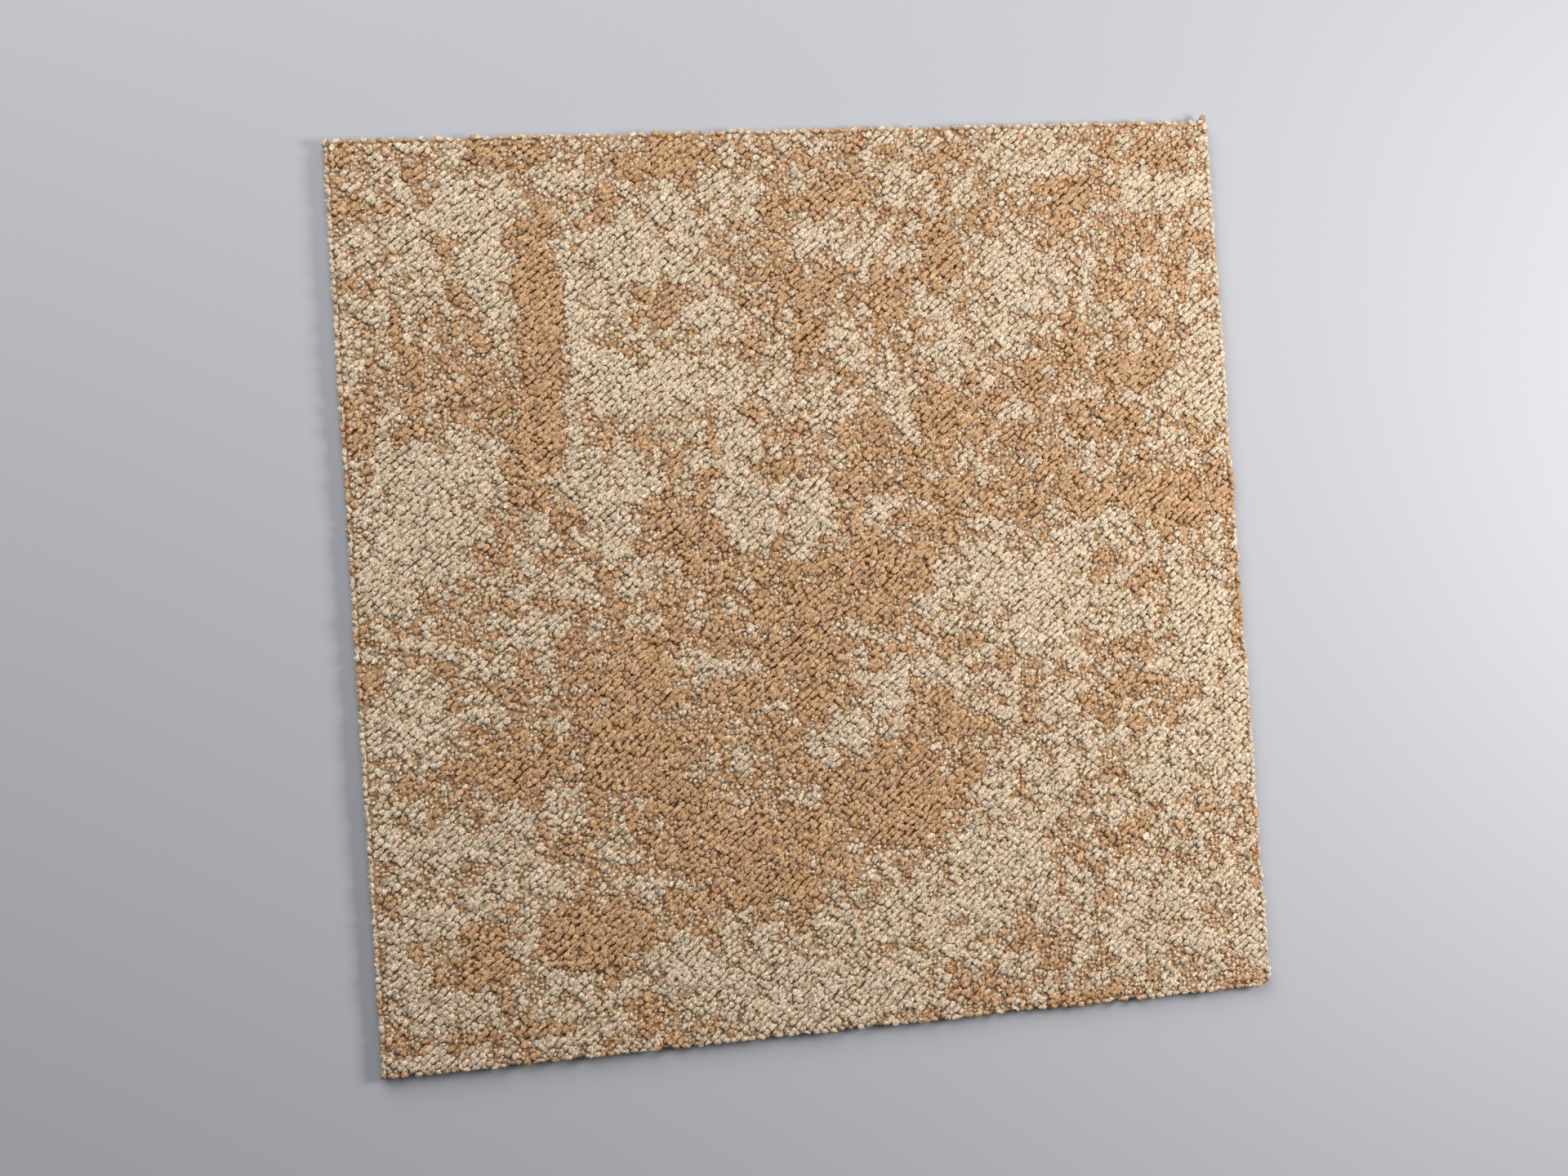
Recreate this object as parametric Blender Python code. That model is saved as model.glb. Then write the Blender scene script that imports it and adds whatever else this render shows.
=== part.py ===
"""Carpet tile: a square of loop pile tufted into a primary cloth and bonded to a heavy flexible backing.

The tile lies flat as it is laid. X runs across the tufting rows, Y runs along them, and Z is up.
The origin is on the underside, at the middle of the square. Lengths are in metres.
"""

import bmesh
import bpy
from mathutils import Vector

# The square that the tile is die-cut to.
TILE_SIDE = 0.500

# The backing: a filled thermoplastic slab with the primary cloth sunk into its top face.
BACKING_THICKNESS = 0.0030
BACKING_ARRIS = 0.0003  # the die leaves each cut edge slightly broken

# The pile: from the root of the tufts to the top of the tallest loops.
PILE_HEIGHT = 0.0042
PILE_SHOULDER = 0.0016  # the outermost loops lean out and round the top edge off
SHOULDER_SEGMENTS = 4
ARRIS_SEGMENTS = 1

# Two meshes that meet face to face keep this clearance.
BOND_GAP = 0.0003

PILE_COLOUR = (0.50, 0.34, 0.20)
BACKING_COLOUR = (0.045, 0.046, 0.050)


def clear_scene():
    """Removes every object of the open scene."""
    for old in list(bpy.data.objects):
        bpy.data.objects.remove(old, do_unlink=True)


def material(name, colour, roughness):
    """A Principled material of one colour, named for the stuff that it stands for."""
    made = bpy.data.materials.new(name)
    made.use_nodes = True
    shader = made.node_tree.nodes["Principled BSDF"]
    shader.inputs["Base Color"].default_value = (*colour, 1.0)
    shader.inputs["Roughness"].default_value = roughness
    shader.inputs["Metallic"].default_value = 0.0
    return made


def square_slab(name, side, thickness, bottom):
    """A flat square plate centred on the Z axis, with its underside at the height `bottom`."""
    mesh = bpy.data.meshes.new(name)
    plate = bmesh.new()
    bmesh.ops.create_cube(plate, size=1.0)
    bmesh.ops.scale(plate, vec=(side, side, thickness), verts=plate.verts)
    bmesh.ops.translate(plate, vec=Vector((0.0, 0.0, thickness / 2)), verts=plate.verts)
    plate.to_mesh(mesh)
    plate.free()
    slab = bpy.data.objects.new(name, mesh)
    slab.location.z = bottom
    bpy.context.scene.collection.objects.link(slab)
    return slab


def edges_at(slab, height):
    """The indices of the slab's four edges at one height above its own underside."""
    tolerance = 1e-6
    points = slab.data.vertices
    return [
        edge.index
        for edge in slab.data.edges
        if all(abs(points[v].co.z - height) < tolerance for v in edge.vertices)
    ]


def round_edges(slab, heights, width, segments):
    """Bevels the slab's edges at the given heights, and leaves its other edges sharp."""
    weight = slab.data.attributes.new("bevel_weight_edge", "FLOAT", "EDGE")
    for height in heights:
        for index in edges_at(slab, height):
            weight.data[index].value = 1.0
    bevel = slab.modifiers.new("rounded edges", "BEVEL")
    bevel.limit_method = "WEIGHT"
    bevel.width = width
    bevel.segments = segments


def make_backing():
    """The die-cut backing slab, with its top and bottom arrises broken."""
    slab = square_slab("backing", TILE_SIDE, BACKING_THICKNESS, bottom=0.0)
    round_edges(slab, (0.0, BACKING_THICKNESS), BACKING_ARRIS, ARRIS_SEGMENTS)
    slab.data.materials.append(material("filled thermoplastic", BACKING_COLOUR, 0.8))
    return slab


def make_pile():
    """The envelope of the tufted loops, rounded where the outermost loops lean over the edge."""
    slab = square_slab(
        "pile", TILE_SIDE, PILE_HEIGHT, bottom=BACKING_THICKNESS + BOND_GAP
    )
    round_edges(slab, (PILE_HEIGHT,), PILE_SHOULDER, SHOULDER_SEGMENTS)
    slab.data.materials.append(material("tufted nylon yarn", PILE_COLOUR, 0.95))
    return slab


clear_scene()
make_backing()
make_pile()
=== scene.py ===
# %% [markdown]
# # A carpet tile, loop by loop
#
# A carpet tile is a square cut from a wide web of tufted carpet. Rows of needles push two yarns, a sand one
# and a tan one, through a thin cloth. Each stitch leaves a loop of yarn standing on the face, and a thick,
# flexible backing holds the loops from below. This lesson builds that face the way the machine does: first a
# pattern card that says how tall each stitch is, then one loop for every stitch.

# %% Load the solids that the looks are built around
import math
import bmesh
import bpy
import numpy as np
from mathutils import Matrix, Vector


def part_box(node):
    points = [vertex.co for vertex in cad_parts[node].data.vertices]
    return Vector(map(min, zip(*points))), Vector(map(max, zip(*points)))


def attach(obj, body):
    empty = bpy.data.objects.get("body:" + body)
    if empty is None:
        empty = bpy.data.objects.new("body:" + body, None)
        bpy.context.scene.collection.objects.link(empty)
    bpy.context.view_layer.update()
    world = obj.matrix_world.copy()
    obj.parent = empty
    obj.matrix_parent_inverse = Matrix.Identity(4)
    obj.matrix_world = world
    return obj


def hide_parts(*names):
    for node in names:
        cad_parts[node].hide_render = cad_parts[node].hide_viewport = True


MM = 0.001
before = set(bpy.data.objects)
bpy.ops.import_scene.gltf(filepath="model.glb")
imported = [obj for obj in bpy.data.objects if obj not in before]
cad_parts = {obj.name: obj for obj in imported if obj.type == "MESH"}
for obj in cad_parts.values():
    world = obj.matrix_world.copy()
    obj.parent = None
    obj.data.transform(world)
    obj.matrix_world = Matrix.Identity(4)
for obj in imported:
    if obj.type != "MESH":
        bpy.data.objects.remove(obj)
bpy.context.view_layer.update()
backing_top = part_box("backing")[1].z
pile_low, pile_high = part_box("pile")
side = pile_high.x - pile_low.x
print("tile side %.1f mm, pile top at %.1f mm" % (side / MM, pile_high.z / MM))

# %% [markdown]
# ## Helpers for every material
#
# Yarn colours are quoted as hex values, as a dyer's shade card would. Those are sRGB numbers, and Blender
# mixes light in linear ones, so one function converts them. A second helper adds a node to a tree, sets its
# properties and fills its inputs, with either a value or the socket that a value comes from. An input goes
# by its name, or by its number where a node has several of one name. A third starts each material.


# %% Colours from hex
def linear(shade):
    """A hex colour as the linear red, green, blue and alpha that nodes expect."""
    parts = [int(shade[i : i + 2], 16) / 255 for i in (1, 3, 5)]
    # These numbers are the sRGB curve's own: a short straight foot, and then a power.
    return [p / 12.92 if p <= 0.04045 else ((p + 0.055) / 1.055) ** 2.4 for p in parts] + [1.0]


print("a mid grey, #808080, is %.3f in linear light" % linear("#808080")[0])


# %% Nodes with their links, and new materials
def add(tree, kind, inputs=None, **settings):
    """A new node of one kind, with its properties set and its inputs filled or linked."""
    made = tree.nodes.new(kind)
    for name, value in settings.items():
        setattr(made, name, value)
    for socket, value in (inputs or {}).items():
        if isinstance(value, bpy.types.NodeSocket):
            tree.links.new(value, made.inputs[socket])
        else:
            made.inputs[socket].default_value = value
    return made


def new_material(name):
    """An empty material: its node tree, and its surface shader, already joined to the output."""
    material = bpy.data.materials.new(name)
    material.use_nodes = True
    material.node_tree.nodes.clear()
    shader = add(material.node_tree, "ShaderNodeBsdfPrincipled")
    add(material.node_tree, "ShaderNodeOutputMaterial", {"Surface": shader.outputs["BSDF"]})
    return material, material.node_tree, shader


print("helpers:", ", ".join(helper.__name__ for helper in (linear, add, new_material)))

# %% [markdown]
# ## The camera
#
# The photograph looks down on the face from about ten degrees off square, a little from the left, and the
# tile leans to the left in the frame. The camera is placed at that spot, aimed at a point near the middle
# of the tile, and rolled by the same few degrees.

# %% Place the camera
CAMERA_PLACE = Vector((-0.1952, -0.0279, 1.0229))
CAMERA_AIM = Vector((-0.0172, -0.0048, pile_high.z))
CAMERA_ROLL = math.radians(4.0)
LENS_MM = 42.8
SENSOR_MM = 36.0

camera_data = bpy.data.cameras.new("camera")
camera_data.lens = LENS_MM
camera_data.sensor_width = SENSOR_MM
camera = bpy.data.objects.new("camera", camera_data)
bpy.context.scene.collection.objects.link(camera)
back = (CAMERA_PLACE - CAMERA_AIM).normalized()
up_hint = Vector((math.sin(CAMERA_ROLL), math.cos(CAMERA_ROLL), 0.0))
right = up_hint.cross(back).normalized()
turned = Matrix((right, back.cross(right), back)).transposed()
camera.matrix_world = Matrix.Translation(CAMERA_PLACE) @ turned.to_4x4()
bpy.context.scene.camera = camera
print("camera %.2f m from the tile" % (CAMERA_PLACE - CAMERA_AIM).length)

# %% [markdown]
# ## The studio
#
# A plain pale floor and soft light keep the eye on the pile. The floor is one large flat face with matt
# paint, which gives an even grey with no gloss. The main light is a panel on the right, so each loop has a
# lit shoulder on that side and a soft shadow on the other. A bare lamp would make those shadows hard. A
# larger panel beyond the far edge lifts that end, and the world adds a weak, slightly cool fill.

# %% The floor
FLOOR_SIZE = 6.0
FLOOR_SHADE = "#AAACB2"
FLOOR_ROUGHNESS = 0.85

half = FLOOR_SIZE / 2
corners = [(-half, -half, 0), (half, -half, 0), (half, half, 0), (-half, half, 0)]
floor_mesh = bpy.data.meshes.new("floor")
floor_mesh.from_pydata(corners, [], [(0, 1, 2, 3)])
floor = bpy.data.objects.new("floor", floor_mesh)
bpy.context.scene.collection.objects.link(floor)
floor_paint, tree, shader = new_material("matt painted floor")
shader.inputs["Base Color"].default_value = linear(FLOOR_SHADE)
shader.inputs["Roughness"].default_value = FLOOR_ROUGHNESS
floor_mesh.materials.append(floor_paint)
print("floor %.1f m across" % FLOOR_SIZE)

# %% The lights and the world
FILL_SHADE = "#E4E7EC"
FILL_STRENGTH = 0.15
PANELS = (
    # name, place, size across, power in watts, shade
    ("main panel", (0.87, 0.05, 0.68), 0.4, 11.6, "#FFFCF8"),
    ("far panel", (-0.45, 1.0, 0.92), 1.2, 21.5, "#FFFFFF"),
)

for name, place, size, watts, shade in PANELS:
    panel = bpy.data.lights.new(name, "AREA")
    panel.size = size
    panel.energy = watts
    panel.color = linear(shade)[:3]
    lamp = bpy.data.objects.new(name, panel)
    lamp.location = place
    lamp.rotation_mode = "QUATERNION"
    lamp.rotation_quaternion = Vector(place).to_track_quat("Z", "Y")
    bpy.context.scene.collection.objects.link(lamp)
    print("%s: %.1f m across, %.1f W" % (name, size, watts))

world = bpy.data.worlds.new("studio")
bpy.context.scene.world = world
world.use_nodes = True
fill = world.node_tree.nodes["Background"]
fill.inputs["Color"].default_value = linear(FILL_SHADE)
fill.inputs["Strength"].default_value = FILL_STRENGTH
bpy.context.scene.view_settings.view_transform = "Standard"

# %% [markdown]
# ## The pattern card
#
# The needles stand a tenth of an inch apart, threaded sand and tan in turn, and the needle bar shifts a step
# after each stitch. So the two yarns fall on the cloth like the squares of a chessboard. What makes the
# mottle is height: where the card feeds much tan and little sand, tall tan loops hide the sand ones, and
# where it feeds both alike, small loops of both show side by side.
#
# The card here is a score for each stitch, from about -1, all sand, to 1, all tan. Noise alone would make a
# mottle of the right kind, but its zones would lie anywhere. So the large forms are soft patches given in a
# list, and only the finer lumps come from value noise, which is a lattice of random numbers with smooth ramps
# between them. The same seed always makes the same tile.

# %% Soft patches of tan, in millimetres from the middle of the tile
TAN_PATCHES = [
    # centre across, centre along, half width, half height, turn in degrees, strength
    (-142, 160, 11, 50, 0, 2.2), (-148, 86, 11, 28, -8, 2.0), (-142, 198, 7, 12, 0, 0.9),
    (-198, 121, 34, 24, 8, 0.48), (-176, 110, 24, 16, 0, 0.6), (-240, 78, 11, 17, 0, 0.9),
    (-236, 212, 12, 13, 0, 0.3), (-243, 234, 9, 13, 0, 0.6), (-204, 226, 6, 9, 0, 0.6),
    (-187, 172, 5, 22, 0, 0.4), (-165, 236, 12, 11, 0, 1.1), (-128, 243, 26, 6, 0, 0.6),
    (-98, 220, 10, 14, -20, 0.6), (-110, 203, 16, 5, 0, 0.8), (-62, 236, 22, 11, 8, 0.9),
    (-90, 239, 16, 6, 0, 0.6), (17, 217, 16, 16, 30, 0.95), (52, 238, 10, 9, 0, 0.6),
    (42, 216, 14, 5, 20, 0.4), (95, 228, 9, 12, 0, 0.8), (86, 174, 12, 30, 0, 0.85),
    (108, 194, 12, 12, 0, 0.4), (182, 240, 12, 8, 0, 0.5), (217, 236, 15, 9, 0, 0.65),
    (238, 234, 9, 10, 0, 0.7), (168, 208, 20, 10, 0, 0.95), (153, 190, 16, 10, 0, 0.6),
    (206, 186, 20, 12, 0, 0.45), (240, 186, 9, 12, 0, 0.25), (186, 168, 15, 12, 0, 0.45),
    (212, 136, 12, 12, 0, 0.35), (158, 138, 8, 9, 0, 0.55), (-21, 191, 15, 9, 0, 0.7),
    (-18, 160, 18, 14, 0, 0.85), (26, 162, 42, 13, 0, 0.85), (-26, 131, 12, 14, 0, 0.8),
    (6, 130, 11, 13, 0, 0.6), (52, 144, 15, 12, 0, 0.55), (150, 124, 14, 8, 0, 0.7),
    (134, 110, 17, 8, 14, 0.85), (168, 114, 22, 12, 0, 0.85), (208, 113, 12, 9, 0, 0.7),
    (112, 84, 32, 24, 0, 0.95), (172, 80, 30, 17, 0, 0.85), (75, 92, 14, 18, 0, 0.9),
    (206, 34, 42, 17, -4, 1.15), (232, 62, 18, 5, 0, 0.5), (146, 50, 14, 14, 0, 0.6),
    (116, 42, 12, 12, 0, 0.6), (76, 44, 20, 32, 0, 0.52), (38, 88, 10, 20, 0, 0.6),
    (43, 57, 13, 14, 0, 0.8), (-8, 77, 11, 9, 0, 0.55), (-31, 96, 7, 6, 0, 0.5),
    (20, 50, 9, 17, 0, 0.9), (-70, 30, 18, 26, 0, 0.95), (-48, 8, 20, 13, 0, 0.75),
    (-12, 5, 34, 14, 0, 1.0), (38, 4, 30, 20, 0, 1.0), (10, -15, 50, 16, 0, 0.95),
    (80, 12, 11, 10, 0, 0.8), (-88, 20, 10, 8, 0, 0.7), (-166, 35, 10, 12, 0, 0.8),
    (-8, -38, 38, 15, 0, 0.9), (34, -42, 14, 9, 0, 0.6), (-6, -64, 14, 18, 0, 0.75),
    (-50, -68, 14, 14, 0, 0.8), (-136, 38, 14, 13, 0, 0.7), (-177, 26, 8, 13, 0, 0.6),
    (-112, 2, 10, 12, 0, 0.6), (-170, -5, 25, 7, 0, 0.85), (-69, -27, 19, 9, 0, 1.0),
    (-104, -54, 25, 20, 0, 1.25), (-104, -84, 30, 24, 0, 1.25), (-174, -95, 38, 13, 0, 1.05),
    (-222, -99, 16, 9, 0, 0.65), (-246, -38, 8, 8, 0, 0.6), (-158, -43, 12, 6, 0, 0.5),
    (-212, -38, 7, 7, 0, 0.45), (-86, -112, 26, 18, 0, 0.95), (-112, -124, 16, 18, 0, 0.5),
    (-30, -92, 12, 12, 0, 0.7), (-162, -72, 14, 8, 0, 0.9), (8, -130, 30, 14, -35, 1.0),
    (-78, -142, 22, 16, 0, 0.95), (-34, -146, 36, 22, 0, 1.1), (-36, -165, 34, 12, 0, 1.1),
    (34, -112, 38, 18, 12, 1.15), (42, -134, 34, 17, 0, 1.3), (28, -147, 17, 9, -20, 0.9),
    (72, -88, 26, 16, 0, 1.0),
    (76, -106, 15, 13, 0, 0.9), (-142, -166, 14, 10, 0, 0.8), (-138, -189, 28, 19, 0, 1.6),
    (-65, -174, 13, 12, 0, 0.9), (-114, -182, 14, 14, 0, 1.2), (-144, -144, 12, 10, 0, 0.8),
    (-191, -192, 13, 20, -20, 1.3), (-236, -231, 12, 9, 0, 0.95), (-176, -232, 26, 4, 0, 0.85),
    (-112, -224, 24, 7, 0, 0.8), (-184, -218, 8, 8, 0, 0.8), (-98, -238, 12, 10, 0, 0.5),
    (-236, -158, 6, 7, 0, 0.5), (-229, -184, 5, 5, 0, 0.6),
    (64, -76, 14, 12, 0, 0.8), (112, -70, 12, 8, 0, 0.3), (188, -78, 18, 12, 0, 0.4),
    (155, -92, 8, 14, 0, 0.6), (246, -28, 5, 20, 0, 0.7), (170, -162, 18, 10, 0, 0.6),
    (204, -164, 9, 12, 45, 0.45), (236, -136, 9, 6, 0, 0.35), (166, -50, 12, 8, 0, 0.5),
    (110, -208, 12, 11, 0, 0.65), (74, -238, 24, 11, 0, 0.75), (43, -208, 9, 9, 0, 0.3),
    (150, -243, 32, 6, 0, 0.6), (98, -240, 10, 9, 0, 0.5), (162, -6, 9, 10, 0, 0.5),
    (-100, 88, 17, 10, 0, 0.6), (-4, 60, 26, 8, 0, 0.8), (-78, 158, 13, 18, 0, 0.6),
]
print(len(TAN_PATCHES), "patches of tan")

# %% Soft patches of sand
SAND_PATCHES = [
    # centre across, centre along, half width, half height, turn in degrees, strength
    (-172, 221, 24, 17, 0, 1.0), (-207, 178, 12, 22, 0, 0.7), (-168, 182, 11, 22, 0, 0.8),
    (-185, 200, 26, 8, 0, 0.8), (-88, 184, 38, 16, 0, 1.0), (-115, 168, 13, 16, 0, 0.85),
    (-60, 208, 26, 9, 0, 0.95), (-20, 214, 18, 9, 0, 0.7), (-130, 226, 17, 7, 0, 0.75),
    (-44, 197, 10, 7, 0, 0.6),
    (-46, 150, 15, 17, 0, 0.75), (-82, 112, 44, 13, 0, 1.0), (-30, 112, 12, 8, 0, 0.8),
    (18, 98, 26, 9, 0, 0.7), (44, 102, 11, 14, 0, 0.9), (104, 121, 8, 8, 0, 0.7), (244, -196, 10, 16, 0, 0.6),
    (-203, 67, 28, 16, 0, 0.95), (-212, 40, 34, 20, 0, 1.0), (-226, 14, 20, 14, 0, 1.0),
    (-180, 62, 14, 10, 0, 0.7), (-118, 57, 26, 14, 0, 0.95), (-108, 28, 12, 14, 0, 0.8),
    (-150, 32, 9, 12, 0, 0.7), (-36, 74, 12, 24, 0, 0.8), (-34, 38, 18, 18, 0, 0.75),
    (-124, 150, 8, 44, 0, 1.1), (-120, 190, 7, 14, 0, 0.7), (-20, 18, 10, 8, 0, 0.6),
    (-2, 34, 15, 16, 0, 0.75), (38, 33, 6, 15, 0, 0.6), (124, 230, 12, 8, 0, 0.3),
    (112, -8, 34, 18, 0, 0.9), (112, -44, 20, 8, 0, 0.3), (138, -34, 18, 14, 0, 0.7),
    (102, 23, 13, 8, 0, 0.7), (64, -18, 12, 9, 0, 0.7), (52, -28, 12, 7, 0, 0.4),
    (226, -30, 13, 17, 0, 1.0), (224, -56, 20, 12, 0, 0.85), (236, -84, 13, 14, 0, 0.75),
    (-229, -62, 20, 16, 0, 0.95), (-190, -58, 10, 10, 0, 0.55), (208, -66, 12, 8, 0, 0.5),
    (-140, -66, 9, 8, 0, 0.6), (-236, -12, 12, 10, 0, 0.2), (-160, -16, 26, 10, 0, 0.45),
    (-214, -128, 32, 16, 0, 0.6), (-170, -146, 22, 14, 0, 0.6), (-218, -166, 22, 12, 0, 0.7),
    (-120, -138, 10, 12, 0, 0.5), (-190, -158, 16, 8, 0, 0.6), (18, -86, 18, 9, 0, 1.0),
    (-152, -112, 12, 10, 0, 0.7), (96, -82, 14, 9, 0, 0.6), (90, -68, 10, 6, 0, 0.4),
    (42, -63, 11, 11, 0, 0.7), (66, -58, 10, 5, 0, 0.7), (98, -160, 22, 18, 0, 1.0),
    (88, -186, 22, 12, 0, 0.85), (120, -184, 10, 18, 0, 0.75), (96, -128, 10, 14, 20, 0.85),
    (76, -146, 9, 10, 0, 0.8), (152, -122, 12, 10, 0, 0.6), (176, -147, 10, 8, 0, 0.5),
    (126, -122, 20, 12, 0, 0.6), (144, -60, 8, 10, 0, 0.75), (140, -86, 12, 12, 0, 0.75),
    (52, -168, 14, 9, 0, 0.65), (26, -194, 24, 16, 0, 0.6), (-84, -206, 28, 14, 0, 1.0),
    (-108, -206, 14, 9, 0, 0.9), (-107, -162, 18, 7, 0, 0.95), (-6, -230, 46, 14, 0, 0.95),
    (-86, -192, 12, 7, 0, 0.7), (12, -176, 12, 8, 0, 0.5), (-150, -224, 14, 5, 0, 0.5),
    (-60, -222, 22, 14, 0, 0.7), (-214, -216, 30, 12, 0, 0.7), (-222, -246, 34, 7, 0, 1.0),
    (-169, -181, 6, 11, 0, 1.1), (-236, -196, 12, 10, 0, 0.6), (-130, -228, 12, 14, 0, 0.4),
    (185, -38, 11, 8, 0, 0.6), (-51, -97, 11, 10, 0, 0.75), (-78, -102, 5, 9, 0, 0.9),
    (-90, -70, 7, 12, 0, 0.6), (-11, -126, 5, 5, 0, 1.3),
    (222, 212, 25, 10, 0, 0.95), (126, 227, 22, 12, 0, 0.65), (68, 220, 15, 11, 0, 0.65),
    (158, 228, 16, 7, 0, 0.6), (132, 164, 17, 20, 0, 0.9), (112, 150, 10, 12, 0, 0.6),
    (88, 133, 11, 14, 0, 0.65), (128, 132, 16, 8, 0, 0.65), (170, 176, 6, 16, 0, 0.6),
    (238, 108, 12, 28, 0, 0.95), (246, 76, 7, 10, 0, 0.7), (192, 94, 38, 4, 0, 0.9),
    (18, 188, 16, 8, 0, 0.9), (38, 180, 11, 12, 0, 0.6), (28, 138, 11, 8, 0, 0.75),
    (124, 84, 15, 9, 0, 1.4), (172, 60, 9, 9, 0, 0.3), (222, 58, 16, 4, 10, 0.8),
    (178, 128, 10, 8, 0, 0.5), (172, -212, 24, 24, 0, 0.65), (214, -214, 18, 12, 0, 0.7),
    (198, -120, 22, 16, 0, 0.8), (232, -112, 14, 12, 0, 0.6), (166, -112, 8, 8, 0, 0.5),
    (30, -218, 22, 10, 0, 0.6), (178, 18, 12, 12, 0, 0.4), (216, -236, 16, 8, 0, 0.6),
    (218, -180, 12, 10, 0, 0.7), (-246, -140, 10, 10, 0, 0.4), (-240, 190, 10, 10, 0, 0.4),
    (-228, 106, 12, 5, 0, 0.4), (-22, 224, 22, 8, 0, 0.5), (55, 78, 7, 8, 0, 0.7),
    (249, -228, 6, 16, 0, 0.9), (-152, -212, 16, 7, 0, 0.85), (-10, 104, 12, 14, 0, 0.7),
    (60, 176, 10, 8, 0, 0.6), (-62, -50, 12, 6, 0, 0.6),
]
print(len(SAND_PATCHES), "patches of sand")


# %% Value noise
def mottle(x, y, cell, seed):
    """Noise from -1 to 1 over places in millimetres, with lumps about one cell across."""
    # The lattice of knots reaches two cells past the edges of the tile.
    reach = side / MM / 2 + 2 * cell
    count = int(2 * reach / cell) + 3
    knots = np.random.default_rng(seed).uniform(-1.0, 1.0, (count, count))
    u = (x + reach) / cell
    v = (y + reach) / cell
    i = np.clip(np.floor(u).astype(int), 0, count - 2)
    j = np.clip(np.floor(v).astype(int), 0, count - 2)
    # The ramp from one knot to the next starts and ends level.
    s = (u - i) ** 2 * (3 - 2 * (u - i))
    t = (v - j) ** 2 * (3 - 2 * (v - j))
    near = knots[i, j] * (1 - s) + knots[i + 1, j] * s
    far = knots[i, j + 1] * (1 - s) + knots[i + 1, j + 1] * s
    return near * (1 - t) + far * t


sample = mottle(np.linspace(-200.0, 200.0, 500), np.zeros(500), cell=10, seed=1)
print("a line of noise runs from %.2f to %.2f" % (sample.min(), sample.max()))


# %% The claim of a set of patches
def claim(x, y, patches):
    """How strongly the best-placed patch claims each place: its strength inside, fading to 0 outside."""
    strongest = np.zeros_like(x)
    for middle_x, middle_y, half_width, half_height, turn, strength in patches:
        c = math.cos(math.radians(turn))
        s = math.sin(math.radians(turn))
        across = ((x - middle_x) * c + (y - middle_y) * s) / half_width
        along = ((y - middle_y) * c - (x - middle_x) * s) / half_height
        strongest = np.maximum(strongest, strength / (1 + (across**2 + along**2) ** 2))
    return strongest


rim = claim(np.array([10.0]), np.array([0.0]), [(0, 0, 10, 10, 0, 1.0)])[0]
print("a patch of strength 1 claims %.2f at its rim" % rim)

# %% [markdown]
# ## Rows that sway
#
# The needles set the distance between the rows, and the feed of the cloth sets the distance between the
# stitches of a row. The rows could be ruled dead straight, but real ones sway a little, because the cloth
# gives as the needles pull at it. So each stitch stands a little off its place, the same way as its
# neighbours. The sway fades out towards the cut edges, so that the outermost loops stay on the tile.

# %% A place for each stitch
GAUGE_MM = 2.5
STITCH_MM = 1.894
SWAY_MM = 0.9
SWAY_CELL_MM = 11
SWAY_SEEDS = (41, 42)

rows = round(side / MM / GAUGE_MM)
stitches = round(side / MM / STITCH_MM)
row, stitch = np.meshgrid(np.arange(rows), np.arange(stitches), indexing="ij")
place_x = ((row + 0.5) / rows - 0.5) * side / MM
place_y = ((stitch + 0.5) / stitches - 0.5) * side / MM
from_edge = side / MM / 2 - np.maximum(np.abs(place_x), np.abs(place_y))
fade = np.clip(from_edge / SWAY_CELL_MM, 0, 1)
stand_x = place_x + SWAY_MM * fade * mottle(place_x, place_y, SWAY_CELL_MM, SWAY_SEEDS[0])
stand_y = place_y + SWAY_MM * fade * mottle(place_x, place_y, SWAY_CELL_MM, SWAY_SEEDS[1])
print("%d rows of %d stitches" % (rows, stitches))

# %% [markdown]
# ## The score of each stitch
#
# Patches with smooth outlines would look cut out with scissors. So the places are bent by noise before the
# patches are read, which frays the outlines, and lumps of three sizes are added for the specks inside each
# zone. A last bit of chance is drawn for each stitch alone, because no two needles feed quite alike.

# %% Read the card at each stitch
BENDS = (
    # size of the lumps in mm, reach in mm, seed across, seed along
    (22, 4.5, 1, 3),
    (9, 2.0, 2, 4),
)
FINE_LUMPS = (
    # size in mm, strength, seed
    (10, 0.40, 5),
    (5.2, 0.66, 6),
    (3.4, 0.42, 8),
)
PATCH_STRENGTH = 0.88
SAND_LEAD = 0.17
CHANCE = 0.24
CHANCE_SEED = 7


def tan_score(x, y):
    """The card: how tan the face is at each place in millimetres, from about -1 to 1."""
    bent_x = x
    bent_y = y
    for cell, reach, seed_across, seed_along in BENDS:
        bent_x = bent_x + reach * mottle(x, y, cell, seed_across)
        bent_y = bent_y + reach * mottle(x, y, cell, seed_along)
    large = claim(bent_x, bent_y, TAN_PATCHES) - claim(bent_x, bent_y, SAND_PATCHES)
    fine = sum(strength * mottle(x, y, cell, seed) for cell, strength, seed in FINE_LUMPS)
    return PATCH_STRENGTH * large + fine - SAND_LEAD


chance = np.random.default_rng(CHANCE_SEED).uniform(-1, 1, place_x.shape)
score = tan_score(place_x, place_y) + CHANCE * chance
is_tan = (row + stitch) % 2 == 0
own_score = np.where(is_tan, score, -score)
print("%.0f %% of the stitches lie where tan leads" % (100 * (score > 0).mean()))

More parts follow.
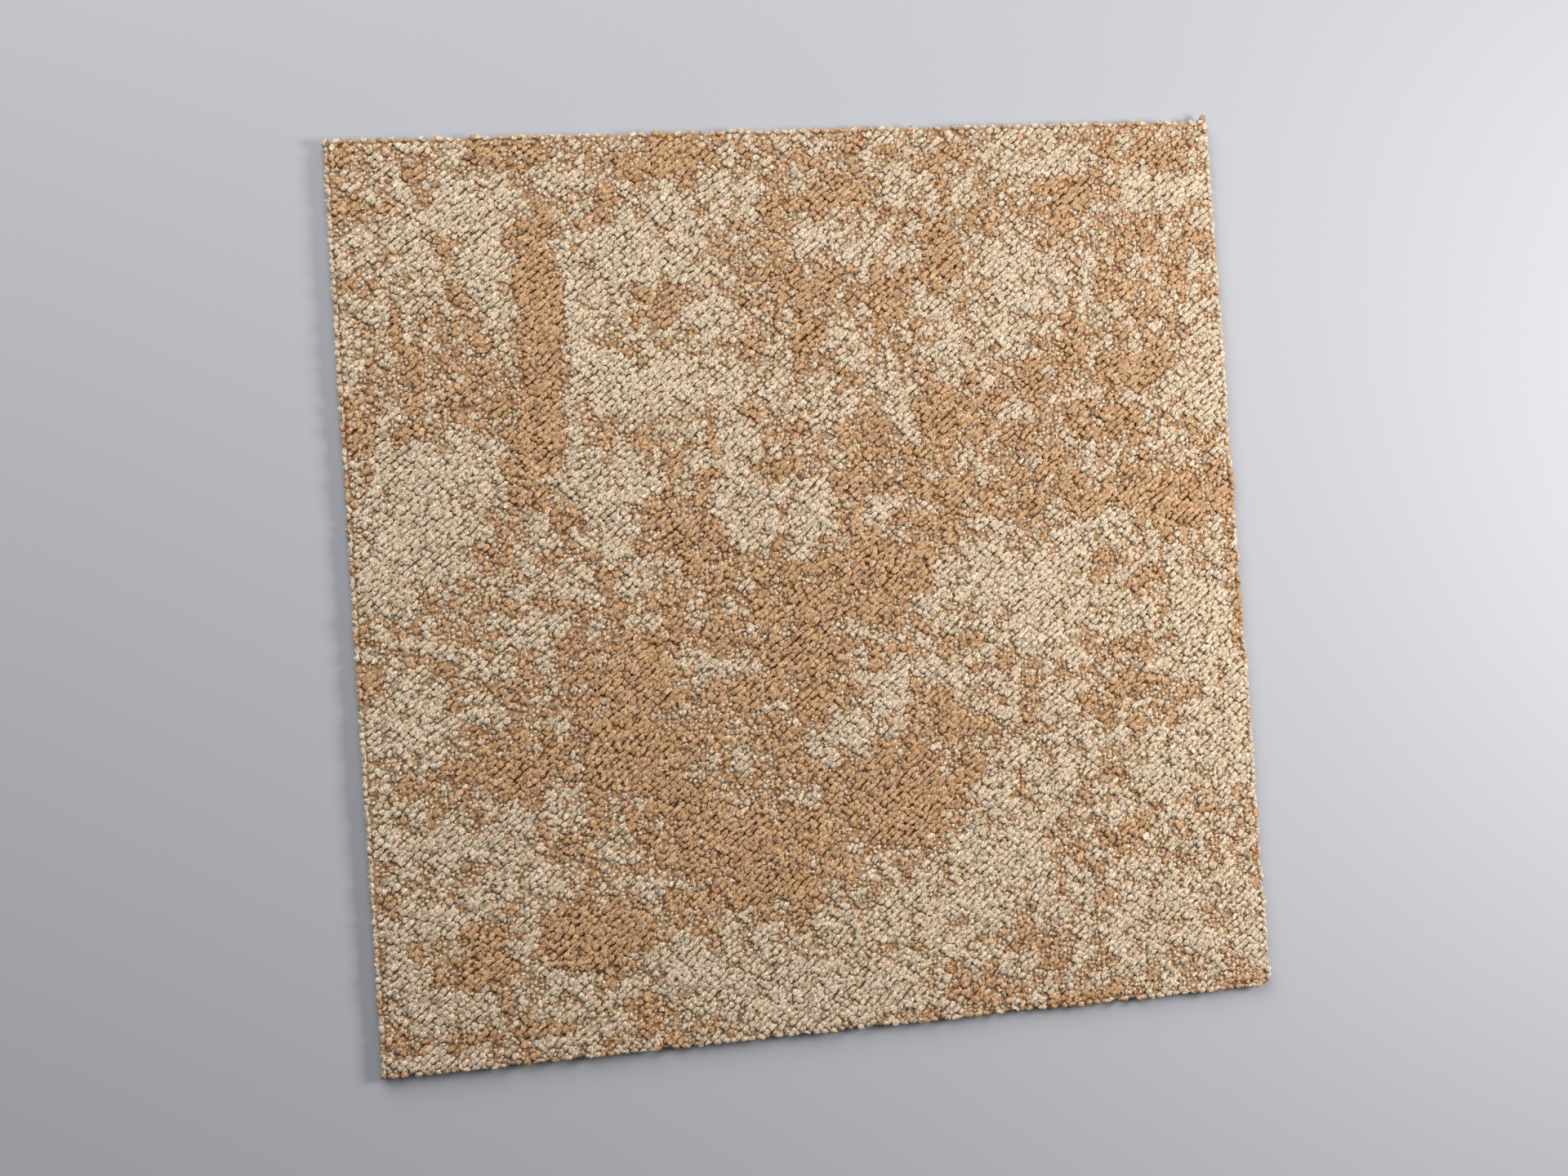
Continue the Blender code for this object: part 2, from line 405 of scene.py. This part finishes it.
# %% [markdown]
# ## Tall, short and buried stitches
#
# A stitch whose own yarn scores well stands tall, the tallest in the middle of its zone. One that scores
# about even stands short, with its neighbours of the other yarn at the same height. Where nothing tall holds
# them, such loops vary a little in height and stray a little from their rows. One that scores badly is pulled
# down to the cloth, where nothing can see it, so it isn't made. Only at the cut edge do the buried ones show,
# from the side. The outermost loops have room to spread, so there a small lead is enough for one yarn to
# cover the other.

# %% Sort the stitches
TALL_FROM = 0.30
EDGE_TALL_FROM = 0.08

on_edge = (row == 0) | (row == rows - 1) | (stitch == 0) | (stitch == stitches - 1)
tall_from = np.where(on_edge, EDGE_TALL_FROM, TALL_FROM)
is_tall = own_score > tall_from
is_short = np.abs(own_score) <= tall_from
print("%d tall, %d short, %d on the edge" % (is_tall.sum(), is_short.sum(), on_edge.sum()))

# %% How high each loop stands, and how far it strays
TALLEST_FROM = 0.55
TALL_CROWN_Z = pile_high.z
TALL_STEP = 0.5 * MM
SHORT_CROWN_Z = 6.75 * MM
SHORT_SPREAD = 0.4 * MM
SHORT_STRAY_MM = 0.55
BURIED_CROWN_Z = 5.0 * MM
STRAY_SEED = 9

draws = np.random.default_rng(STRAY_SEED).uniform(-1, 1, (3, *row.shape))
below_top = np.clip((TALLEST_FROM - own_score) / (TALLEST_FROM - TALL_FROM), 0, 1)
crown_z = np.where(
    is_tall,
    TALL_CROWN_Z - TALL_STEP * below_top,
    np.where(is_short, SHORT_CROWN_Z + SHORT_SPREAD * draws[0], BURIED_CROWN_Z),
)
stand_x = stand_x + SHORT_STRAY_MM * is_short * draws[1]
stand_y = stand_y + SHORT_STRAY_MM * is_short * draws[2]
print("crowns from %.2f to %.2f mm" % (crown_z.min() / MM, crown_z.max() / MM))

# %% [markdown]
# ## The form of one loop
#
# A loop of bulked nylon has no sharp ends. It comes up through one hole of the cloth, swells, bends over and
# goes down the next, and pressed against its neighbours it looks like a pebble with a flat top. There are
# tens of thousands of them, so each may have only a few faces: a root point that the neighbours hide, an
# upright belly, a shoulder and a flat crown. The crown of a tall loop is longer than it is wide, so that the
# loops of one diagonal run into a chain with dark creases beside it. Smooth shading rounds them off. The
# form is one unit across, along and high, and it is stretched to its real size when it is planted.


# %% A pebble from rings of points
def pebble(name, sides, first_turn, rings):
    """A closed form from a root point up through rings of (height, half across, half along, shift across)."""
    form = bmesh.new()
    root = form.verts.new((0.0, 0.0, 0.0))
    turns = [math.radians(first_turn + 360 * k / sides) for k in range(sides)]
    levels = []
    for height, half_across, half_along, shift in rings:
        spots = [(half_across * math.cos(a) + shift, half_along * math.sin(a), height) for a in turns]
        levels.append([form.verts.new(spot) for spot in spots])
    for k in range(sides):
        n = (k + 1) % sides
        form.faces.new((root, levels[0][n], levels[0][k]))
        for lower, upper in zip(levels, levels[1:]):
            form.faces.new((lower[k], lower[n], upper[n], upper[k]))
    form.faces.new(levels[-1])
    bmesh.ops.triangulate(form, faces=form.faces[:])
    mesh = bpy.data.meshes.new(name)
    form.to_mesh(mesh)
    form.free()
    mesh.shade_smooth()
    up = mesh.attributes.new("up_the_loop", "FLOAT", "POINT")
    up.data.foreach_set("value", [v.co.z for v in mesh.vertices])
    return bpy.data.objects.new(name, mesh)


# The belly, the shoulder and the crown of a tall loop, and the belly and the crown of a short one.
TALL_RINGS = ((0.50, 0.5, 0.48, 0.0), (0.88, 0.46, 0.48, 0.01), (0.99, 0.30, 0.44, 0.02))
SHORT_RINGS = ((0.50, 0.5, 0.5, 0.0), (0.92, 0.38, 0.38, 0.0))

tall_loop = pebble("tall loop form", sides=6, first_turn=30, rings=TALL_RINGS)
short_loop = pebble("short loop form", sides=5, first_turn=0, rings=SHORT_RINGS)
for form in (tall_loop, short_loop):
    print(form.name, len(form.data.polygons), "triangles")

# %% [markdown]
# ## Which way the loops point
#
# The stitches of one yarn are nearest to each other along the diagonals of the chessboard. The long way of a
# loop follows one of them, up and to the right, and the loop leans across it, down and to the right. That is
# what draws the fine diagonal lines on the face.

# %% Bearing and lean
LOOP_BEARING = math.atan2(STITCH_MM, GAUGE_MM) - math.pi / 2
LOOP_LEAN = math.radians(13)
print("loops turn %.0f degrees from their rows" % math.degrees(LOOP_BEARING))

# %% [markdown]
# ## Planting the loops with Geometry Nodes
#
# An array would repeat one loop without a change, and nobody can place tens of thousands by hand. A tree of
# Geometry Nodes plants a loop on each of many points and makes no two alike.
#
# The tree takes a mesh of loose points, one for each stitch. Each point says how high its crown is and which
# way it leans, and the tree adds the small accidents: a turn, a tilt, a size and a place that are never
# quite the same. It stores a random tone on each loop for the dyer's unevenness. Then it makes the copies
# real, presses creases into them and gives them their yarn.

# %% The inputs of the tufting tree
tufting = bpy.data.node_groups.new("tufting", "GeometryNodeTree")
for name, kind in (
    ("Stitches", "NodeSocketGeometry"),
    ("Tall loop", "NodeSocketObject"),
    ("Short loop", "NodeSocketObject"),
    ("Tall across", "NodeSocketFloat"),
    ("Tall along", "NodeSocketFloat"),
    ("Short across", "NodeSocketFloat"),
    ("Short along", "NodeSocketFloat"),
    ("Bearing spread", "NodeSocketFloat"),
    ("Lean spread", "NodeSocketFloat"),
    ("Size spread", "NodeSocketFloat"),
    ("Place spread", "NodeSocketFloat"),
    ("Crease spacing", "NodeSocketFloat"),
    ("Crease depth", "NodeSocketFloat"),
    ("Seed", "NodeSocketInt"),
    ("Yarn", "NodeSocketMaterial"),
):
    tufting.interface.new_socket(name, in_out="INPUT", socket_type=kind)
tufting.interface.new_socket("Pile", in_out="OUTPUT", socket_type="NodeSocketGeometry")
source = add(tufting, "NodeGroupInput").outputs
print("the tree takes:", ", ".join(socket.name for socket in source if socket.name))


# %% Numbers that a stitch draws or reads
def scatter(spread, shift):
    """A random number from minus the spread to plus it. Each shift of the seed gives another draw."""
    low = add(tufting, "ShaderNodeMath", {0: 0.0, 1: spread}, operation="SUBTRACT").outputs[0]
    seed = add(tufting, "ShaderNodeMath", {0: source["Seed"], 1: shift}, operation="ADD").outputs[0]
    draw = add(tufting, "FunctionNodeRandomValue", {2: low, 3: spread, "Seed": seed}, data_type="FLOAT")
    return draw.outputs[1]


def reading(name):
    """A number that every stitch carries under this name."""
    read = add(tufting, "GeometryNodeInputNamedAttribute", {"Name": name}, data_type="FLOAT")
    return read.outputs["Attribute"]


def sized(length, shift):
    """A length made a little more or less, by the size spread."""
    change = scatter(source["Size spread"], shift)
    factor = add(tufting, "ShaderNodeMath", {0: change, 1: 1.0}, operation="ADD").outputs[0]
    return add(tufting, "ShaderNodeMath", {0: length, 1: factor}, operation="MULTIPLY").outputs[0]


print("ways to get a number:", ", ".join(way.__name__ for way in (scatter, reading, sized)))

# %% The place and the attitude of each loop
shift_across = scatter(source["Place spread"], 1)
shift_along = scatter(source["Place spread"], 2)
nudge = add(tufting, "ShaderNodeCombineXYZ", {0: shift_across, 1: shift_along}).outputs[0]
moved = add(tufting, "GeometryNodeSetPosition", {"Geometry": source["Stitches"], "Offset": nudge}).outputs[0]
extra_lean = scatter(source["Lean spread"], 3)
lean = add(tufting, "ShaderNodeMath", {0: reading("lean"), 1: extra_lean}, operation="ADD").outputs[0]
extra_turn = scatter(source["Bearing spread"], 4)
bearing = add(tufting, "ShaderNodeMath", {0: reading("bearing"), 1: extra_turn}, operation="ADD").outputs[0]
side_tilt = scatter(source["Lean spread"], 5)
angles = add(tufting, "ShaderNodeCombineXYZ", {0: side_tilt, 1: lean, 2: bearing}).outputs[0]
attitude = add(tufting, "FunctionNodeEulerToRotation", {0: angles}).outputs[0]
print(len(tufting.nodes), "nodes so far")

# %% Plant the tall form or the short one
# A tall stitch carries a 1, and any other a 0. Buried stitches of the cut edge get the short form.
TALL_MARK = 0.5

is_tall_stitch = add(
    tufting,
    "FunctionNodeCompare",
    {0: reading("tall"), 1: TALL_MARK},
    data_type="FLOAT",
    operation="GREATER_THAN",
).outputs[0]
is_short_stitch = add(tufting, "FunctionNodeBooleanMath", {0: is_tall_stitch}, operation="NOT").outputs[0]
planted = add(tufting, "GeometryNodeJoinGeometry")
for kind, chosen, shift in (("Tall", is_tall_stitch, 10), ("Short", is_short_stitch, 20)):
    size = add(
        tufting,
        "ShaderNodeCombineXYZ",
        {
            0: sized(source[kind + " across"], shift),
            1: sized(source[kind + " along"], shift + 1),
            2: sized(reading("height"), shift + 2),
        },
    )
    form = add(tufting, "GeometryNodeObjectInfo", {"Object": source[kind + " loop"]})
    loops = add(
        tufting,
        "GeometryNodeInstanceOnPoints",
        {
            "Points": moved,
            "Selection": chosen,
            "Instance": form.outputs["Geometry"],
            "Rotation": attitude,
            "Scale": size.outputs[0],
        },
    )
    tufting.links.new(loops.outputs[0], planted.inputs[0])
print(len(planted.inputs[0].links), "kinds of loop planted")

# %% Tone, creases and yarn
NOISE_MIDDLE = (0.5, 0.5, 0.5)

tone = add(tufting, "FunctionNodeRandomValue", {2: 0.0, 3: 1.0, "Seed": source["Seed"]}, data_type="FLOAT")
toned = add(
    tufting,
    "GeometryNodeStoreNamedAttribute",
    {"Geometry": planted.outputs[0], "Name": "tone", "Value": tone.outputs[1]},
    data_type="FLOAT",
    domain="INSTANCE",
)
real = add(tufting, "GeometryNodeRealizeInstances", {"Geometry": toned.outputs[0]})
per_crease = add(tufting, "ShaderNodeMath", {0: 1.0, 1: source["Crease spacing"]}, operation="DIVIDE")
crush = add(tufting, "ShaderNodeTexNoise", {"Scale": per_crease.outputs[0], "Detail": 0.0}).outputs["Color"]
centred = add(tufting, "ShaderNodeVectorMath", {0: crush, 1: NOISE_MIDDLE}, operation="SUBTRACT")
pushed = add(
    tufting,
    "ShaderNodeVectorMath",
    {0: centred.outputs[0], "Scale": source["Crease depth"]},
    operation="SCALE",
)
crushed = add(tufting, "GeometryNodeSetPosition", {"Geometry": real.outputs[0], "Offset": pushed.outputs[0]})
dressed = add(
    tufting, "GeometryNodeSetMaterial", {"Geometry": crushed.outputs[0], "Material": source["Yarn"]}
)
add(tufting, "NodeGroupOutput", {"Pile": dressed.outputs[0]})
print("the tufting tree has", len(tufting.nodes), "nodes")

# %% [markdown]
# ## The two yarns
#
# The yarn is bulked continuous filament nylon: hundreds of crimped, translucent threads with a trilobal
# section, heat-set into a soft strand. To the eye it is matt with a faint sheen. The dye never takes quite
# evenly, so neighbouring loops differ a little in depth and hue. The base of each loop is painted darker, as
# painted shade for the crease it stands in, where light has been through many threads before it gets out.
#
# Hair curves could show the threads themselves, but a tile has many millions. So the loops are solid, and
# the threads are drawn on them, with noise that is stretched along the strand and turned a little, because
# the yarn is twisted. Its streaks are half a millimetre across, which is far coarser than a real filament,
# because one of a twentieth of a millimetre is too fine to show. The hue comes from the loop's own tone.


# %% Bulked nylon
THREAD = 0.5 * MM
STREAK_LENGTH = 2.0 * MM
TWIST = math.radians(20)
STREAK_BEARING = LOOP_BEARING + TWIST
STREAK_NOISE = (0.32, 0.68)
STREAK_LIGHT = (0.34, 1.45)
# Painted shade: how far up each loop the darker root colour reaches, and where the loop's own dye takes over.
PAINTED_SHADE_UP_TO = 0.2
OWN_SHADE_FROM = 0.75
FIBRE_RELIEF = 0.25 * MM
FIBRE_STRENGTH = 0.6
YARN_ROUGHNESS = 0.65
NYLON_IOR = 1.53
YARN_SPECULAR = 0.3
YARN_SHEEN = 0.05
YARN_SHEEN_ROUGHNESS = 0.5


def yarn(name, shades, painted_root_shade):
    """Bulked nylon in a few neighbouring shades, chosen loop by loop, over a root darkened with painted
    shade.
    """
    material, tree, shader = new_material(name)
    tone = add(tree, "ShaderNodeAttribute", attribute_name="tone").outputs["Fac"]
    up = add(tree, "ShaderNodeAttribute", attribute_name="up_the_loop").outputs["Fac"]
    place = add(tree, "ShaderNodeTexCoord").outputs["Object"]
    strand = add(
        tree,
        "ShaderNodeMapping",
        {"Vector": place, "Rotation": (0.0, 0.0, STREAK_BEARING), "Scale": (THREAD, STREAK_LENGTH, THREAD)},
        vector_type="TEXTURE",
    ).outputs[0]

    dye = add(tree, "ShaderNodeValToRGB", {"Fac": tone})
    dye.color_ramp.elements[0].color = linear(shades[0])
    dye.color_ramp.elements[1].color = linear(shades[-1])
    for k in range(1, len(shades) - 1):
        dye.color_ramp.elements.new(k / (len(shades) - 1)).color = linear(shades[k])

    threads = add(tree, "ShaderNodeTexNoise", {"Vector": strand, "Scale": 1.0, "Detail": 2.0})
    levels = {1: STREAK_NOISE[0], 2: STREAK_NOISE[1], 3: STREAK_LIGHT[0], 4: STREAK_LIGHT[1]}
    streak = add(tree, "ShaderNodeMapRange", {"Value": threads.outputs["Fac"], **levels})
    # Painted shade: the lower part of each loop is mixed towards the darker root colour, for the shade in the
    # creases.
    levels = {1: PAINTED_SHADE_UP_TO, 2: OWN_SHADE_FROM, 3: 0.0, 4: 1.0}
    depth = add(tree, "ShaderNodeMapRange", {"Value": up, **levels})
    shaded = add(
        tree,
        "ShaderNodeMix",
        {"Factor": depth.outputs[0], 6: linear(painted_root_shade), 7: dye.outputs["Color"]},
        data_type="RGBA",
    )
    colour = add(
        tree, "ShaderNodeVectorMath", {0: shaded.outputs[2], "Scale": streak.outputs[0]}, operation="SCALE"
    )
    tree.links.new(colour.outputs[0], shader.inputs["Base Color"])

    # The fibres are half as wide as the streaks, and raised a little.
    fibres = add(tree, "ShaderNodeTexNoise", {"Vector": strand, "Scale": 2.0, "Detail": 1.0})
    relief = {"Distance": FIBRE_RELIEF, "Strength": FIBRE_STRENGTH}
    bump = add(tree, "ShaderNodeBump", {"Height": fibres.outputs["Fac"], **relief})
    tree.links.new(bump.outputs[0], shader.inputs["Normal"])
    shader.inputs["Roughness"].default_value = YARN_ROUGHNESS
    shader.inputs["IOR"].default_value = NYLON_IOR
    shader.inputs["Specular IOR Level"].default_value = YARN_SPECULAR
    shader.inputs["Sheen Weight"].default_value = YARN_SHEEN
    shader.inputs["Sheen Roughness"].default_value = YARN_SHEEN_ROUGHNESS
    return material


# The root colours are painted shade for the creases between the loops. Sand is pale, so light passes from
# loop to loop and even its painted root shade stays light. Tan takes up more of the light, so the painted
# shade in its creases and roots goes to a deep brown.
SAND_SHADES = ("#C7B495", "#D3BFA6", "#D5BCA3", "#D6C6AC")
SAND_ROOT_PAINTED_SHADE = "#A17E52"
TAN_SHADES = ("#B58F66", "#C39D72", "#BD9472", "#CDA981")
TAN_ROOT_PAINTED_SHADE = "#6B3A15"

sand_yarn = yarn("sand bulked nylon", SAND_SHADES, SAND_ROOT_PAINTED_SHADE)
tan_yarn = yarn("tan bulked nylon", TAN_SHADES, TAN_ROOT_PAINTED_SHADE)
for dyed_yarn, shades in ((sand_yarn, SAND_SHADES), (tan_yarn, TAN_SHADES)):
    print(dyed_yarn.name, "in", len(shades), "shades")

# %% [markdown]
# ## Tufting the tile
#
# A mesh of loose points holds the stitches of one yarn and one band of rows. The tile is tufted in bands so
# that no single mesh grows too heavy to handle. After the tree has run, the result is copied into a plain
# mesh, and the modifier goes, so each band is an ordinary object from then on.

# %% The sizes of the loops, and how much they vary
TUFT_INPUTS = {
    "Tall loop": tall_loop,
    "Short loop": short_loop,
    "Tall across": 3.55 * MM,
    "Tall along": 5.0 * MM,
    "Short across": 2.7 * MM,
    "Short along": 3.3 * MM,
    "Bearing spread": math.radians(16),
    "Lean spread": math.radians(10),
    "Size spread": 0.12,
    "Place spread": 0.50 * MM,
    "Crease spacing": 1.7 * MM,
    "Crease depth": 2.4 * MM,
}
for kind in ("Tall", "Short"):
    measures = [TUFT_INPUTS[kind + way] / MM for way in (" across", " along")]
    print(kind, "loops: %.2f by %.2f mm" % tuple(measures))

# %% Stitches in, loops out
CARD_COLUMNS = ("height", "lean", "bearing", "tall")


def stitch_points(name, chosen, root_z, leans, bearings):
    """Loose points at the chosen stitches, each with what the tree reads from it."""
    mesh = bpy.data.meshes.new(name)
    count = int(chosen.sum())
    mesh.vertices.add(count)
    spots = np.column_stack((stand_x[chosen] * MM, stand_y[chosen] * MM, np.full(count, root_z)))
    mesh.vertices.foreach_set("co", spots.ravel())
    heights = crown_z[chosen] - root_z
    columns = (heights, leans[chosen], bearings[chosen], is_tall[chosen] * 1.0)
    for label, values in zip(CARD_COLUMNS, columns):
        mesh.attributes.new(label, "FLOAT", "POINT").data.foreach_set("value", values)
    made = bpy.data.objects.new(name, mesh)
    bpy.context.scene.collection.objects.link(made)
    return made


def tuft(points, material, seed, **changes):
    """Runs the tufting tree on a mesh of points and puts the loops in its place, as a plain mesh."""
    modifier = points.modifiers.new("tufting", "NODES")
    modifier.node_group = tufting
    values = {**TUFT_INPUTS, "Seed": seed, "Yarn": material, **changes}
    for item in tufting.interface.items_tree:
        if item.in_out == "INPUT" and item.name in values:
            modifier[item.identifier] = values[item.name]
    bpy.context.view_layer.update()
    evaluated = points.evaluated_get(bpy.context.evaluated_depsgraph_get())
    mesh = bpy.data.meshes.new_from_object(evaluated)
    points.modifiers.remove(modifier)
    mesh.name = points.name
    points.data = mesh
    for label in CARD_COLUMNS:
        mesh.attributes.remove(mesh.attributes[label])
    return points


print("each stitch carries:", ", ".join(CARD_COLUMNS))

# %% Tuft each band with each yarn
BANDS = 4
BAND_SEED = 100
ROOT_Z = 4.6 * MM
YARNS = (("sand", ~is_tan, sand_yarn), ("tan", is_tan, tan_yarn))

pile_pieces = []
inner = ~on_edge & (is_tall | is_short)
all_leans = np.full(row.shape, LOOP_LEAN)
all_bearings = np.full(row.shape, LOOP_BEARING)
for yarn_name, own, material in YARNS:
    for band in range(BANDS):
        chosen = inner & own & (row * BANDS // rows == band)
        name = "%s_loops_%d" % (yarn_name, band + 1)
        points = stitch_points(name, chosen, ROOT_Z, all_leans, all_bearings)
        piece = tuft(points, material, BAND_SEED + band)
        pile_pieces.append((piece, yarn_name + "_yarn"))
        print(piece.name, chosen.sum(), "loops", len(piece.data.polygons), "triangles")

# %% [markdown]
# ## The cut edge
#
# The die cuts between loops, and the outermost ones are no longer held up by neighbours. They fall outwards,
# a little beyond the backing, and show their sides. They could be more of the same loops, but the edge would
# look sawn off. So they get a run of the tree to themselves, with sizes of their own. They start lower, at
# the cloth, and even the buried stitches are made here, because nothing hides them. At the far right corner
# a loop has come half loose.

# %% Which way the edge loops lean
EDGE_LEAN = math.radians(14)
EDGE_ROOT_Z = 3.5 * MM
LOOSE_STITCH = (-1, -1)
LOOSE_BEARING = math.radians(97)
LOOSE_LEAN = math.radians(56)
LOOSE_LENGTH = 6.5 * MM

outward = np.arctan2(
    np.where(stitch == 0, -1.0, np.where(stitch == stitches - 1, 1.0, 0.0)),
    np.where(row == 0, -1.0, np.where(row == rows - 1, 1.0, 0.0)),
)
edge_leans = np.where(is_tall | is_short, EDGE_LEAN, 0.0)
edge_leans[LOOSE_STITCH] = LOOSE_LEAN
outward[LOOSE_STITCH] = LOOSE_BEARING
crown_z[LOOSE_STITCH] = EDGE_ROOT_Z + LOOSE_LENGTH
print("%d of the edge loops lean out" % (edge_leans[on_edge] > 0).sum())

# %% Tuft the edge with each yarn
EDGE_SEED = 200
EDGE_INPUTS = {
    "Bearing spread": math.radians(20),
    "Lean spread": math.radians(6),
    "Place spread": 0.2 * MM,
    "Tall across": 3.1 * MM,
    "Tall along": 4.8 * MM,
    "Short across": 3.0 * MM,
    "Short along": 3.9 * MM,
}

for yarn_name, own, material in YARNS:
    points = stitch_points("%s_edge_loops" % yarn_name, on_edge & own, EDGE_ROOT_Z, edge_leans, outward)
    piece = tuft(points, material, EDGE_SEED, **EDGE_INPUTS)
    pile_pieces.append((piece, yarn_name + "_yarn"))
    print(piece.name, len(piece.data.polygons), "triangles")

# %% [markdown]
# ## Between the loops
#
# Under the loops is the cloth that they are sewn into, covered by the roots and by the stitches that the
# card pulled down. Each root could be made, but they only show as dark specks between the loops and as a
# thin line at the cut edge, so one gently lumpy slab is enough. Its colours are the yarns' own, darkened as
# painted shade for the depth between the loops. Each place takes more of the sand or more of the tan from
# the same card as the loops, partly the real yarn there and partly painted light bounced off tan loops above,
# and fine noise breaks it into crushed ends of yarn, dull and dry.

# %% A slab for the cloth and the roots
ROOT_GRID = 100
CLOTH_INSET = 0.5 * MM
ROOT_TOP_Z = 5.7 * MM
ROOT_LUMP = 0.35 * MM
ROOT_LUMP_CELL_MM = 6.0
ROOT_LUMP_SEED = 31
EVEN_SHARE = 0.5
SHARE_PER_SCORE = 0.7


def root_slab():
    """A closed slab from the top of the backing to the roots, with a lumpy top."""
    form = bmesh.new()
    bmesh.ops.create_grid(form, x_segments=ROOT_GRID, y_segments=ROOT_GRID, size=side / 2 - CLOTH_INSET)
    spots = np.array([v.co[:2] for v in form.verts]) / MM
    lumps = mottle(spots[:, 0], spots[:, 1], ROOT_LUMP_CELL_MM, ROOT_LUMP_SEED)
    border = [e for e in form.edges if e.is_boundary]
    sunk = bmesh.ops.extrude_edge_only(form, edges=border)["geom"]
    low = {v for v in sunk if isinstance(v, bmesh.types.BMVert)}
    for vert, lump in zip([v for v in form.verts if v not in low], lumps):
        vert.co.z = ROOT_TOP_Z + ROOT_LUMP * lump
    for vert in low:
        vert.co.z = backing_top
    bmesh.ops.contextual_create(form, geom=[e for e in form.edges if e.is_boundary])
    bmesh.ops.recalc_face_normals(form, faces=form.faces[:])
    bmesh.ops.triangulate(form, faces=form.faces[:])
    mesh = bpy.data.meshes.new("tuft_roots")
    form.to_mesh(mesh)
    form.free()
    spots = np.array([v.co[:2] for v in mesh.vertices]) / MM
    # The tan share is partly the real tan yarn there and partly painted light bounced off the tan loops
    # above.
    share = np.clip(EVEN_SHARE + SHARE_PER_SCORE * tan_score(spots[:, 0], spots[:, 1]), 0.0, 1.0)
    mesh.attributes.new("tan_share", "FLOAT", "POINT").data.foreach_set("value", share)
    return mesh


roots = bpy.data.objects.new("tuft_roots", root_slab())
bpy.context.scene.collection.objects.link(roots)
pile_pieces.append((roots, "tan_yarn"))
print(roots.name, len(roots.data.polygons), "triangles")

# %% The finish of the cloth and the roots, with painted shade
SPECK = 1.5 * MM
SPECK_LEVELS = {1: 0.3, 2: 0.7, 3: 0.75, 4: 1.2}
# Painted shade: yarn colours of the roots and cloth, darkened for the shade deep between the loops.
SAND_ROOTS_IN_PAINTED_SHADE = "#B99B76"
TAN_ROOTS_IN_PAINTED_SHADE = "#8A5A30"
CLOTH_ROUGHNESS = 0.95

root_yarn, tree, shader = new_material("yarn roots and primary cloth")
place = add(tree, "ShaderNodeTexCoord").outputs["Object"]
specks = add(tree, "ShaderNodeTexNoise", {"Vector": place, "Scale": 1 / SPECK, "Detail": 2.0})
# Painted bounce light: the slab leans towards tan where tan loops stand over it, partly from real tan roots.
shares = add(tree, "ShaderNodeAttribute", attribute_name="tan_share").outputs["Fac"]
both = {6: linear(SAND_ROOTS_IN_PAINTED_SHADE), 7: linear(TAN_ROOTS_IN_PAINTED_SHADE)}
mixed = add(tree, "ShaderNodeMix", {"Factor": shares, **both}, data_type="RGBA").outputs[2]
uneven = add(tree, "ShaderNodeMapRange", {"Value": specks.outputs["Fac"], **SPECK_LEVELS}).outputs[0]
dyed = add(tree, "ShaderNodeVectorMath", {0: mixed, "Scale": uneven}, operation="SCALE")
tree.links.new(dyed.outputs[0], shader.inputs["Base Color"])
shader.inputs["Roughness"].default_value = CLOTH_ROUGHNESS
roots.data.materials.append(root_yarn)
print(root_yarn.name, "with", len(tree.nodes), "nodes")

# %% [markdown]
# ## The backing
#
# The backing is a thermoplastic loaded with mineral dust, rolled on hot, with a thin fleece pressed into its
# underside so that it grips the floor. It is a dark charcoal, matt, with the pale dust showing as specks
# where the die has cut through it. The solid model's slab already has the right form, so it is kept and only
# gets this finish. Noise gives the dust and the fleece: lumps of 1.4 mm, with five finer layers down to
# about 0.05 mm, the size of a grain.

# %% Charcoal backing
DUST_LUMP = 1.4 * MM
DUST_LAYERS = 5.0
DUST_GRAININESS = 0.75
CHARCOAL_RAMP = ((0.4, "#2B2C2F"), (0.75, "#5B5C60"))
FLEECE_RELIEF = 0.3 * MM
FLEECE_STRENGTH = 0.7
BACKING_ROUGHNESS = 0.88

backing_stuff, tree, shader = new_material("filled thermoplastic with fleece")
place = add(tree, "ShaderNodeTexCoord").outputs["Object"]
grain = {"Scale": 1 / DUST_LUMP, "Detail": DUST_LAYERS, "Roughness": DUST_GRAININESS}
dust = add(tree, "ShaderNodeTexNoise", {"Vector": place, **grain}).outputs["Fac"]
charcoal = add(tree, "ShaderNodeValToRGB", {"Fac": dust})
for stop, (level, shade) in zip(charcoal.color_ramp.elements, CHARCOAL_RAMP):
    stop.position = level
    stop.color = linear(shade)
tree.links.new(charcoal.outputs["Color"], shader.inputs["Base Color"])
relief = {"Distance": FLEECE_RELIEF, "Strength": FLEECE_STRENGTH}
fleece = add(tree, "ShaderNodeBump", {"Height": dust, **relief})
tree.links.new(fleece.outputs[0], shader.inputs["Normal"])
shader.inputs["Roughness"].default_value = BACKING_ROUGHNESS
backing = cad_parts["backing"]
backing.data.materials.clear()
backing.data.materials.append(backing_stuff)
print(backing.name, "in", backing_stuff.name)

# %% [markdown]
# ## Putting it together
#
# The tile has no joint, so everything rides on its one body. Each band of loops stands for the plain slab
# that the solid model has in place of the pile.

# %% Ride, replace and finish
for piece, slot_name in pile_pieces:
    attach(piece, "root")
    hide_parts("pile")
print("triangles in all:", sum(len(piece.data.polygons) for piece, _ in pile_pieces))
